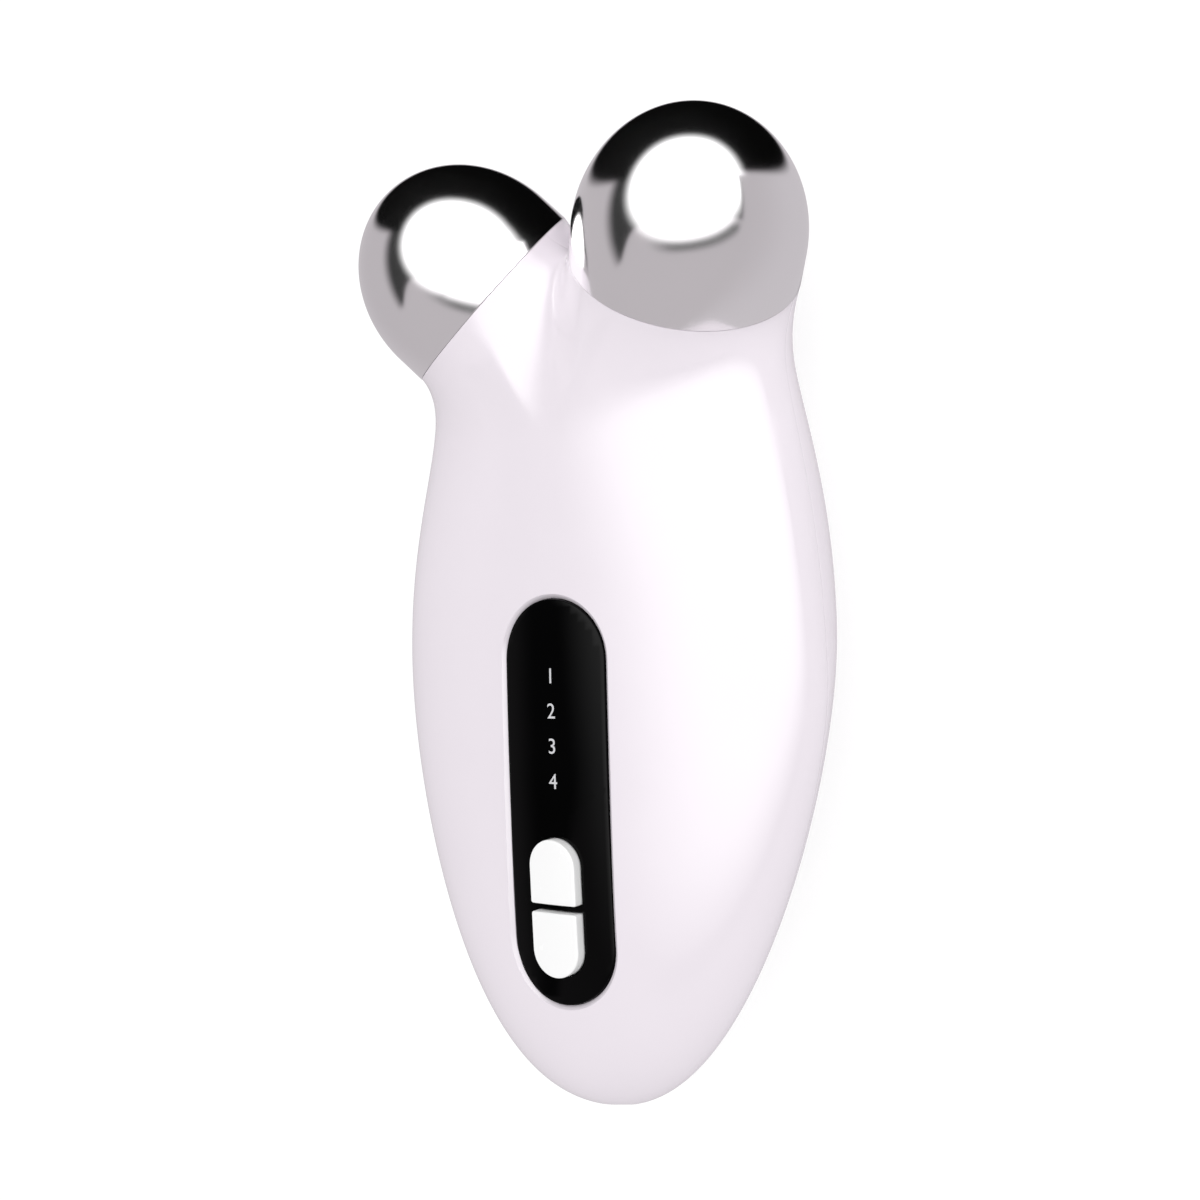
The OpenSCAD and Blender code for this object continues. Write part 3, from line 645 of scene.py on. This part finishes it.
def domeShell(name, side):
    bm = bmesh.new()
    profile = []
    for i in range(dome["arcSteps"] + 1):
        a = math.pi / 2 * (1 - i / dome["arcSteps"])
        profile.append((dome["radius"] * math.cos(a), dome["height"] * math.sin(a)))
    rimZ = dome["seam"] - dome["skirt"]
    r = dome["rimRound"]
    profile.append((dome["collar"], rimZ + r))
    for step in (1, 2, 3):
        a = math.radians(30 * step)
        profile.append((dome["collar"] - r * (1 - math.cos(a)), rimZ + r - r * math.sin(a)))
    inner = dome["radius"] - dome["wall"]
    (seatR, seatZ), (postR, postZ), (boreR, boreZ) = dome["seat"], dome["post"], dome["bore"]
    profile.append((inner, rimZ))
    turnTo = math.acos(seatR / inner)
    for i in range(dome["innerSteps"] + 1):
        a = turnTo * i / dome["innerSteps"]
        profile.append((inner * math.cos(a), (dome["height"] - dome["wall"]) * math.sin(a)))
    profile += [(seatR, seatZ), (postR, seatZ), (postR, postZ)]
    profile += [(boreR, postZ), (boreR, boreZ), (0, boreZ)]
    chain = [bm.verts.new((x, 0, z)) for x, z in profile]
    for a, b in zip(chain, chain[1:]):
        bm.edges.new((a, b))
    bmesh.ops.spin(bm, geom=bm.verts[:] + bm.edges[:], cent=(0, 0, 0), axis=(0, 0, 1), dvec=(0, 0, 0),
                   angle=2 * math.pi, steps=dome["steps"], use_merge=True, use_duplicate=False)
    bmesh.ops.remove_doubles(bm, verts=bm.verts, dist=1e-4)
    bmesh.ops.recalc_face_normals(bm, faces=bm.faces)
    onArm = (Matrix.Scale(mm, 4)
             @ Matrix.Translation(origin + Vector((side * dome["halfGap"], 0, 0)))
             @ Matrix.Rotation(dome["lean"] - math.pi / 2, 4, "X")
             @ Matrix.Rotation(side * dome["splay"], 4, "Y"))
    return placedTool(name, bm, onArm)


leftDome = domeShell("leftDomeShell", -1)
rightDome = domeShell("rightDomeShell", 1)
print("domes:", len(leftDome.data.polygons), "faces each")


# The charging socket's shell, cut back so that its rim stays inside the tip

socketStart = 1.25  # millimetres behind the tip


def socketShell():
    source = nodes["charge_socket"]
    bm = bmesh.new()
    bm.from_mesh(source.data)
    bmesh.ops.transform(bm, matrix=source.matrix_world, verts=bm.verts)
    bmesh.ops.remove_doubles(bm, verts=bm.verts, dist=1e-6)
    start = (origin.y - body["tipDrop"] + socketStart) * mm
    cut = sliced(bm, (0, start, 0), (0, -1, 0), clear=True)
    rim = [e for e in cut["geom_cut"] if isinstance(e, bmesh.types.BMEdge)]
    bmesh.ops.bridge_loops(bm, edges=rim)
    bmesh.ops.recalc_face_normals(bm, faces=bm.faces)
    return newPiece("chargeSocketShell", bm, cutSharp)


socket = socketShell()
print("socket:", len(socket.data.polygons), "faces")


# Materials

def newMaterial(name):
    mat = bpy.data.materials.new(name)
    mat.use_nodes = True
    tree = mat.node_tree
    tree.nodes.clear()
    output = tree.nodes.new("ShaderNodeOutputMaterial")
    shader = tree.nodes.new("ShaderNodeBsdfPrincipled")
    tree.links.new(shader.outputs["BSDF"], output.inputs["Surface"])
    return mat, tree, shader


def noise(tree, scale, detail=3, stretch=(1, 1, 1)):
    # scale is in bumps per metre
    place = tree.nodes.new("ShaderNodeTexCoord")
    mapping = tree.nodes.new("ShaderNodeMapping")
    mapping.inputs["Scale"].default_value = stretch
    texture = tree.nodes.new("ShaderNodeTexNoise")
    texture.inputs["Scale"].default_value = scale
    texture.inputs["Detail"].default_value = detail
    tree.links.new(place.outputs["Object"], mapping.inputs["Vector"])
    tree.links.new(mapping.outputs["Vector"], texture.inputs["Vector"])
    return texture.outputs["Fac"]


def between(tree, value, low, high):
    # nearly all of a noise lies between 0.3 and 0.7
    ramp = tree.nodes.new("ShaderNodeMapRange")
    ramp.inputs["From Min"].default_value = 0.3
    ramp.inputs["From Max"].default_value = 0.7
    ramp.inputs["To Min"].default_value = low
    ramp.inputs["To Max"].default_value = high
    tree.links.new(value, ramp.inputs["Value"])
    return ramp.outputs["Result"]


def mixColour(tree, value, first, second):
    mix = tree.nodes.new("ShaderNodeMix")
    mix.data_type = "RGBA"
    mix.inputs["A"].default_value = (*first, 1)
    mix.inputs["B"].default_value = (*second, 1)
    tree.links.new(value, mix.inputs["Factor"])
    return mix.outputs["Result"]


def bump(tree, shader, height, distance):
    relief = tree.nodes.new("ShaderNodeBump")
    relief.inputs["Distance"].default_value = distance
    tree.links.new(height, relief.inputs["Height"])
    tree.links.new(relief.outputs["Normal"], shader.inputs["Normal"])


def surface(name, look):
    mat, tree, shader = newMaterial(name)
    shader.inputs["Metallic"].default_value = look.get("metal", 0)
    shader.inputs["IOR"].default_value = look.get("ior", 1.46)
    shader.inputs["Specular IOR Level"].default_value = look.get("specular", 0.5)
    stretch = look.get("stretch", (1, 1, 1))
    tint = between(tree, noise(tree, look.get("tintScale", 60), 4), 0, 1)
    tree.links.new(mixColour(tree, tint, look["colour"], look["shade"]), shader.inputs["Base Color"])
    wear = noise(tree, look.get("roughScale", 400), 3, stretch=stretch)
    tree.links.new(between(tree, wear, *look["rough"]), shader.inputs["Roughness"])
    if "bump" in look:
        bump(tree, shader, noise(tree, look["bumpScale"], 2, stretch=stretch), look["bump"])
    return mat


looks = {
    "bodyWhite": {
        "colour": (0.815, 0.76, 0.815), "shade": (0.80, 0.745, 0.80),
        "rough": (0.022, 0.038), "bumpScale": 260, "bump": 3e-7, "ior": 1.5,
    },
    "windowBlack": {
        "colour": (0.0015, 0.0015, 0.0017), "shade": (0.001, 0.001, 0.001),
        "rough": (0.03, 0.05), "specular": 0.07,
    },
    "printWhite": {
        "colour": (0.62, 0.62, 0.64), "shade": (0.58, 0.58, 0.6), "rough": (0.35, 0.45),
        "tintScale": 1500,
    },
    "buttonWhite": {
        "colour": (0.93, 0.93, 0.93), "shade": (0.92, 0.92, 0.92),
        "rough": (0.22, 0.28), "bumpScale": 2500, "bump": 1e-6,
    },
    "chrome": {
        "colour": (0.95, 0.94, 0.945), "shade": (0.93, 0.92, 0.93), "rough": (0.11, 0.125),
        "metal": 1,
    },
    "tape": {
        "colour": (0.06, 0.06, 0.065), "shade": (0.04, 0.04, 0.045), "rough": (0.8, 0.9),
        "bumpScale": 3000, "bump": 2e-5,
    },
    "blackPlastic": {
        "colour": (0.02, 0.02, 0.022), "shade": (0.013, 0.013, 0.014),
        "rough": (0.4, 0.5), "bumpScale": 2500, "bump": 1e-5,
    },
    "innerPlastic": {
        "colour": (0.62, 0.61, 0.6), "shade": (0.58, 0.57, 0.56),
        "rough": (0.45, 0.55), "bumpScale": 2500, "bump": 6e-6,
    },
    "sealRubber": {
        "colour": (0.03, 0.03, 0.03), "shade": (0.02, 0.02, 0.02), "rough": (0.6, 0.7),
        "bumpScale": 1500, "bump": 1e-5,
    },
    "screwSteel": {
        "colour": (0.56, 0.56, 0.57), "shade": (0.48, 0.48, 0.5), "rough": (0.22, 0.38),
        "metal": 1, "roughScale": 1500, "stretch": (1, 1, 6),
    },
    "switchSteel": {
        "colour": (0.6, 0.6, 0.62), "shade": (0.52, 0.52, 0.54), "rough": (0.25, 0.35),
        "metal": 1, "roughScale": 2500, "stretch": (1, 8, 1),
    },
    "socketSteel": {
        "colour": (0.66, 0.66, 0.68), "shade": (0.6, 0.6, 0.62), "rough": (0.2, 0.3),
        "metal": 1, "roughScale": 2500, "stretch": (8, 1, 1),
    },
    "heaterCeramic": {
        "colour": (0.55, 0.47, 0.38), "shade": (0.42, 0.35, 0.28),
        "rough": (0.6, 0.75), "tintScale": 900, "bumpScale": 2500, "bump": 2e-5,
    },
    "wireRed": {
        "colour": (0.5, 0.03, 0.03), "shade": (0.4, 0.02, 0.02), "rough": (0.35, 0.45),
        "bumpScale": 800, "bump": 1e-5,
    },
    "ferrite": {
        "colour": (0.05, 0.047, 0.045), "shade": (0.09, 0.085, 0.08), "rough": (0.55, 0.7),
        "tintScale": 1800, "bumpScale": 3500, "bump": 2e-5,
    },
    "chipBlack": {
        "colour": (0.02, 0.02, 0.022), "shade": (0.03, 0.03, 0.03), "rough": (0.5, 0.6),
        "tintScale": 2000, "bumpScale": 5000, "bump": 1e-5,
    },
    "ledWhite": {
        "colour": (0.85, 0.83, 0.72), "shade": (0.8, 0.78, 0.66), "rough": (0.3, 0.4),
        "tintScale": 2000,
    },
    "connectorWhite": {
        "colour": (0.76, 0.74, 0.68), "shade": (0.7, 0.68, 0.62),
        "rough": (0.4, 0.5), "bumpScale": 3000, "bump": 6e-6,
    },
    "batteryFoil": {
        "colour": (0.62, 0.63, 0.67), "shade": (0.55, 0.56, 0.6), "rough": (0.28, 0.4),
        "metal": 1, "bumpScale": 350, "bump": 1.2e-4,
    },
}
made = {name: surface(name, look) for name, look in looks.items()}


board = {
    "scale": 260, "line": 0.035, "lineColour": (0.012, 0.14, 0.05, 1),
    "colour": (0.006, 0.085, 0.03, 1), "shade": (0.005, 0.075, 0.026, 1),
    "roughScale": 600, "rough": (0.3, 0.4), "bump": 2e-5,
}


def boardGreen():
    # solder mask over copper tracks: the thin square-cornered lines of a brick pattern
    mat, tree, shader = newMaterial("boardGreen")
    place = tree.nodes.new("ShaderNodeTexCoord")
    tracks = tree.nodes.new("ShaderNodeTexBrick")
    tracks.inputs["Scale"].default_value = board["scale"]
    tracks.inputs["Mortar Size"].default_value = board["line"]
    tracks.inputs["Color1"].default_value = board["colour"]
    tracks.inputs["Color2"].default_value = board["shade"]
    tracks.inputs["Mortar"].default_value = board["lineColour"]
    tree.links.new(place.outputs["Object"], tracks.inputs["Vector"])
    tree.links.new(tracks.outputs["Color"], shader.inputs["Base Color"])
    wear = between(tree, noise(tree, board["roughScale"]), *board["rough"])
    tree.links.new(wear, shader.inputs["Roughness"])
    bump(tree, shader, tracks.outputs["Fac"], board["bump"])
    return mat


made["boardGreen"] = boardGreen()
materialOf = {
    "window_tape": "tape", "upper_switch_plunger": "blackPlastic", "lower_switch_plunger": "blackPlastic",
    "upper_switch": "switchSteel", "lower_switch": "switchSteel",
    "left_dome_carrier": "innerPlastic", "right_dome_carrier": "innerPlastic",
    "left_dome_seal": "sealRubber", "right_dome_seal": "sealRubber",
    "left_dome_screw": "screwSteel", "right_dome_screw": "screwSteel", "board_screws": "screwSteel",
    "case_screw": "screwSteel", "left_heater": "heaterCeramic", "right_heater": "heaterCeramic",
    "left_lead": "wireRed", "right_lead": "wireRed", "battery_lead": "wireRed", "main_board": "boardGreen",
    "light_frame": "blackPlastic", "mode_leds": "ledWhite", "control_chips": "chipBlack",
    "boost_transformer": "ferrite", "buzzer": "blackPlastic", "battery": "batteryFoil",
    "battery_cradle": "blackPlastic", "battery_connector": "connectorWhite",
    "charge_tongue": "blackPlastic",
}
for node, name in materialOf.items():
    mesh = nodes[node].data
    mesh.materials.clear()
    mesh.materials.append(made[name])

for piece, material, slot, bodyName, stands in (
    (frontShell, "bodyWhite", "body_white", "casing", "front_shell"),
    (rearShell, "bodyWhite", "body_white", "casing", "rear_shell"),
    (lens, "windowBlack", "window_black", "casing", "display_window"),
    (marks, "printWhite", "window_black", "casing", None),
    (upperCap, "buttonWhite", "button_white", "upper_key", "upper_button"),
    (lowerCap, "buttonWhite", "button_white", "lower_key", "lower_button"),
    (leftDome, "chrome", "chrome", "casing", "left_dome"),
    (rightDome, "chrome", "chrome", "casing", "right_dome"),
    (socket, "socketSteel", "socket_steel", "casing", "charge_socket"),
):
    piece.data.materials.clear()
    piece.data.materials.append(made[material])
    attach(piece, bodyName)
    if stands:
        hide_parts(stands)
print("materials:", len(made))


# Floor, world and lamps

studio = {
    "floorSize": 4.0, "floorAlbedo": 0.9, "floorShown": 0.3, "floorGlow": 0.76,
    "ambient": 1.12, "lampPower": 1.0, "lampSize": 0.4, "lampPlace": (0.27, 0.22, 0.55),
    "lampAim": (0, 0, 0.02),
}


def lightPath(tree, *kinds):
    # 1 for any of these kinds of ray
    path = tree.nodes.new("ShaderNodeLightPath")
    total = path.outputs[kinds[0]]
    for kind in kinds[1:]:
        total = sums(tree, "MAXIMUM", total, path.outputs[kind])
    return total


def sums(tree, how, a, b=0.0):
    node = tree.nodes.new("ShaderNodeMath")
    node.operation = how
    for socket, value in zip(node.inputs, (a, b)):
        if isinstance(value, (int, float)):
            socket.default_value = value
        else:
            tree.links.new(value, socket)
    return node.outputs[0]


def floorPiece():
    bm = bmesh.new()
    bmesh.ops.create_grid(bm, x_segments=1, y_segments=1, size=studio["floorSize"] / 2)
    floor = newPiece("floor", bm)
    mat = bpy.data.materials.new("floorWhite")
    mat.use_nodes = True
    tree = mat.node_tree
    tree.nodes.clear()
    output = tree.nodes.new("ShaderNodeOutputMaterial")
    bounce = tree.nodes.new("ShaderNodeBsdfDiffuse")
    bounce.inputs["Color"].default_value = (*[studio["floorAlbedo"]] * 3, 1)
    shown = tree.nodes.new("ShaderNodeBsdfDiffuse")
    shown.inputs["Color"].default_value = (*[studio["floorShown"]] * 3, 1)
    glow = tree.nodes.new("ShaderNodeEmission")
    glow.inputs["Strength"].default_value = studio["floorGlow"]
    both = tree.nodes.new("ShaderNodeAddShader")
    pick = tree.nodes.new("ShaderNodeMixShader")
    tree.links.new(shown.outputs[0], both.inputs[0])
    tree.links.new(glow.outputs[0], both.inputs[1])
    looked = lightPath(tree, "Is Camera Ray", "Is Glossy Ray", "Is Transmission Ray")
    tree.links.new(looked, pick.inputs["Fac"])
    tree.links.new(bounce.outputs[0], pick.inputs[1])
    tree.links.new(both.outputs[0], pick.inputs[2])
    tree.links.new(pick.outputs[0], output.inputs["Surface"])
    floor.data.materials.append(mat)
    floor.visible_glossy = False
    return floor


floorPiece()

# What the gloss sees: a grey room with a black ceiling toward the domes, and one broad
# round softbox in a dark frame. Angles are round the device's length and up along it.
room = {
    "grey": (0.51, 0.48, 0.50), "greyAside": (0.58, 0.55, 0.575), "asideTurn": (80, 150),
    "ceiling": (27, 33), "dark": 0.002,
    "frameTurn": (-60, -44, 80, 86), "frameLow": -23, "frameLean": (-50, -22, 15), "frameSoft": 5,
    "frameDark": 0.035,
    "band": (1.0, 1.08, 1.12, 1.26), "bandTurn": (-20, 15, 78, 86), "bandRise": (-16, -8),
    "bandDark": 0.16,
    "boxTurn": 27, "boxRise": 19, "boxHalfTurn": 58, "boxHalfRise": 51, "boxHalfFall": 46,
    "boxSpread": 0.22,
    "boxEdge": (0.6, 1.12), "boxStrength": 4.6, "boxCut": (80, 83), "boxCutRise": (25, 28),
}


def ramp(tree, value, low, high, start=0.0, end=1.0):
    node = tree.nodes.new("ShaderNodeMapRange")
    node.interpolation_type = "SMOOTHSTEP"
    for name, number in (("From Min", low), ("From Max", high), ("To Min", start), ("To Max", end)):
        node.inputs[name].default_value = number
    tree.links.new(value, node.inputs["Value"])
    return node.outputs["Result"]


def product(tree, first, *others):
    for other in others:
        first = sums(tree, "MULTIPLY", first, other)
    return first


def within(tree, value, start, full, last, end):
    # 1 between full and last, 0 beyond start and end
    return product(tree, ramp(tree, value, start, full), ramp(tree, value, last, end, 1, 0))


def darkFrame(tree, turn, rise):
    # the frame round the softbox; its lower edge slants up from the left
    start, end, lean = room["frameLean"]
    low, soft = room["frameLow"], room["frameSoft"] / 2
    fromEdge = sums(tree, "SUBTRACT", rise, ramp(tree, turn, start, end, 0, lean))
    above = ramp(tree, fromEdge, low - soft, low + soft)
    return product(tree, within(tree, turn, *room["frameTurn"]), above)


def boxReach(tree, turn, rise, y):
    # distance from the softbox's middle, 1 at its half sizes; it spreads wider as the rise grows
    spread = sums(tree, "POWER", sums(tree, "SUBTRACT", 1.0, product(tree, y, y)), room["boxSpread"])
    across = sums(tree, "DIVIDE", sums(tree, "SUBTRACT", turn, room["boxTurn"]), room["boxHalfTurn"])
    across = product(tree, across, spread)
    above = sums(tree, "SUBTRACT", rise, room["boxRise"])
    upward = sums(tree, "MAXIMUM", sums(tree, "DIVIDE", above, room["boxHalfRise"]),
                  sums(tree, "DIVIDE", above, -room["boxHalfFall"]))
    squares = sums(tree, "ADD", sums(tree, "POWER", across, 2.0), sums(tree, "POWER", upward, 2.0))
    return sums(tree, "SQRT", squares)


def seenByGloss(tree, x, y, z):
    degrees = 180 / math.pi
    turn = sums(tree, "MULTIPLY", sums(tree, "ARCTAN2", x, z), degrees)
    rise = sums(tree, "MULTIPLY", sums(tree, "ARCSINE", y), degrees)
    reach = boxReach(tree, turn, rise, y)
    inFrame = darkFrame(tree, turn, rise)
    inBand = product(tree, within(tree, reach, *room["band"]), within(tree, turn, *room["bandTurn"]),
                     ramp(tree, rise, *room["bandRise"], 1, 0))
    ceiling = ramp(tree, rise, *room["ceiling"])
    cut = sums(tree, "MAXIMUM", ramp(tree, turn, *room["boxCut"], 1, 0),
               ramp(tree, rise, *room["boxCutRise"]))
    box = product(tree, ramp(tree, reach, *room["boxEdge"], 1, 0), cut)
    aside = ramp(tree, sums(tree, "ABSOLUTE", turn), *room["asideTurn"])
    seen = mixColour(tree, aside, room["grey"], room["greyAside"])
    for share, light in ((inBand, room["bandDark"]), (inFrame, room["frameDark"]),
                         (ceiling, room["dark"]), (box, room["boxStrength"])):
        over = mixColour(tree, share, (0, 0, 0), [light] * 3)
        tree.links.new(seen, over.node.inputs["A"])
        seen = over
    return seen


def studioWorld():
    world = bpy.data.worlds.new("studio")
    bpy.context.scene.world = world
    world.use_nodes = True
    tree = world.node_tree
    tree.nodes.clear()
    place = tree.nodes.new("ShaderNodeTexCoord")
    split = tree.nodes.new("ShaderNodeSeparateXYZ")
    tree.links.new(place.outputs["Generated"], split.inputs[0])
    gloss = tree.nodes.new("ShaderNodeBackground")
    tree.links.new(seenByGloss(tree, *split.outputs), gloss.inputs["Color"])
    soft = tree.nodes.new("ShaderNodeBackground")
    soft.inputs["Strength"].default_value = studio["ambient"]
    white = tree.nodes.new("ShaderNodeBackground")
    output = tree.nodes.new("ShaderNodeOutputWorld")
    first = tree.nodes.new("ShaderNodeMixShader")
    second = tree.nodes.new("ShaderNodeMixShader")
    tree.links.new(lightPath(tree, "Is Glossy Ray"), first.inputs["Fac"])
    tree.links.new(soft.outputs[0], first.inputs[1])
    tree.links.new(gloss.outputs[0], first.inputs[2])
    tree.links.new(lightPath(tree, "Is Camera Ray", "Is Transmission Ray"), second.inputs["Fac"])
    tree.links.new(first.outputs[0], second.inputs[1])
    tree.links.new(white.outputs[0], second.inputs[2])
    tree.links.new(second.outputs[0], output.inputs["Surface"])


studioWorld()

lampData = bpy.data.lights.new("keyLamp", "AREA")
lampData.shape = "DISK"
lampData.size = studio["lampSize"]
lampData.energy = studio["lampPower"]
lamp = bpy.data.objects.new("keyLamp", lampData)
bpy.context.scene.collection.objects.link(lamp)
lamp.location = studio["lampPlace"]
lampDirection = Vector(studio["lampAim"]) - lamp.location
lamp.rotation_euler = lampDirection.to_track_quat("-Z", "Y").to_euler()
lamp.visible_glossy = False

bpy.context.scene.view_settings.view_transform = "Standard"
print("studio ready")
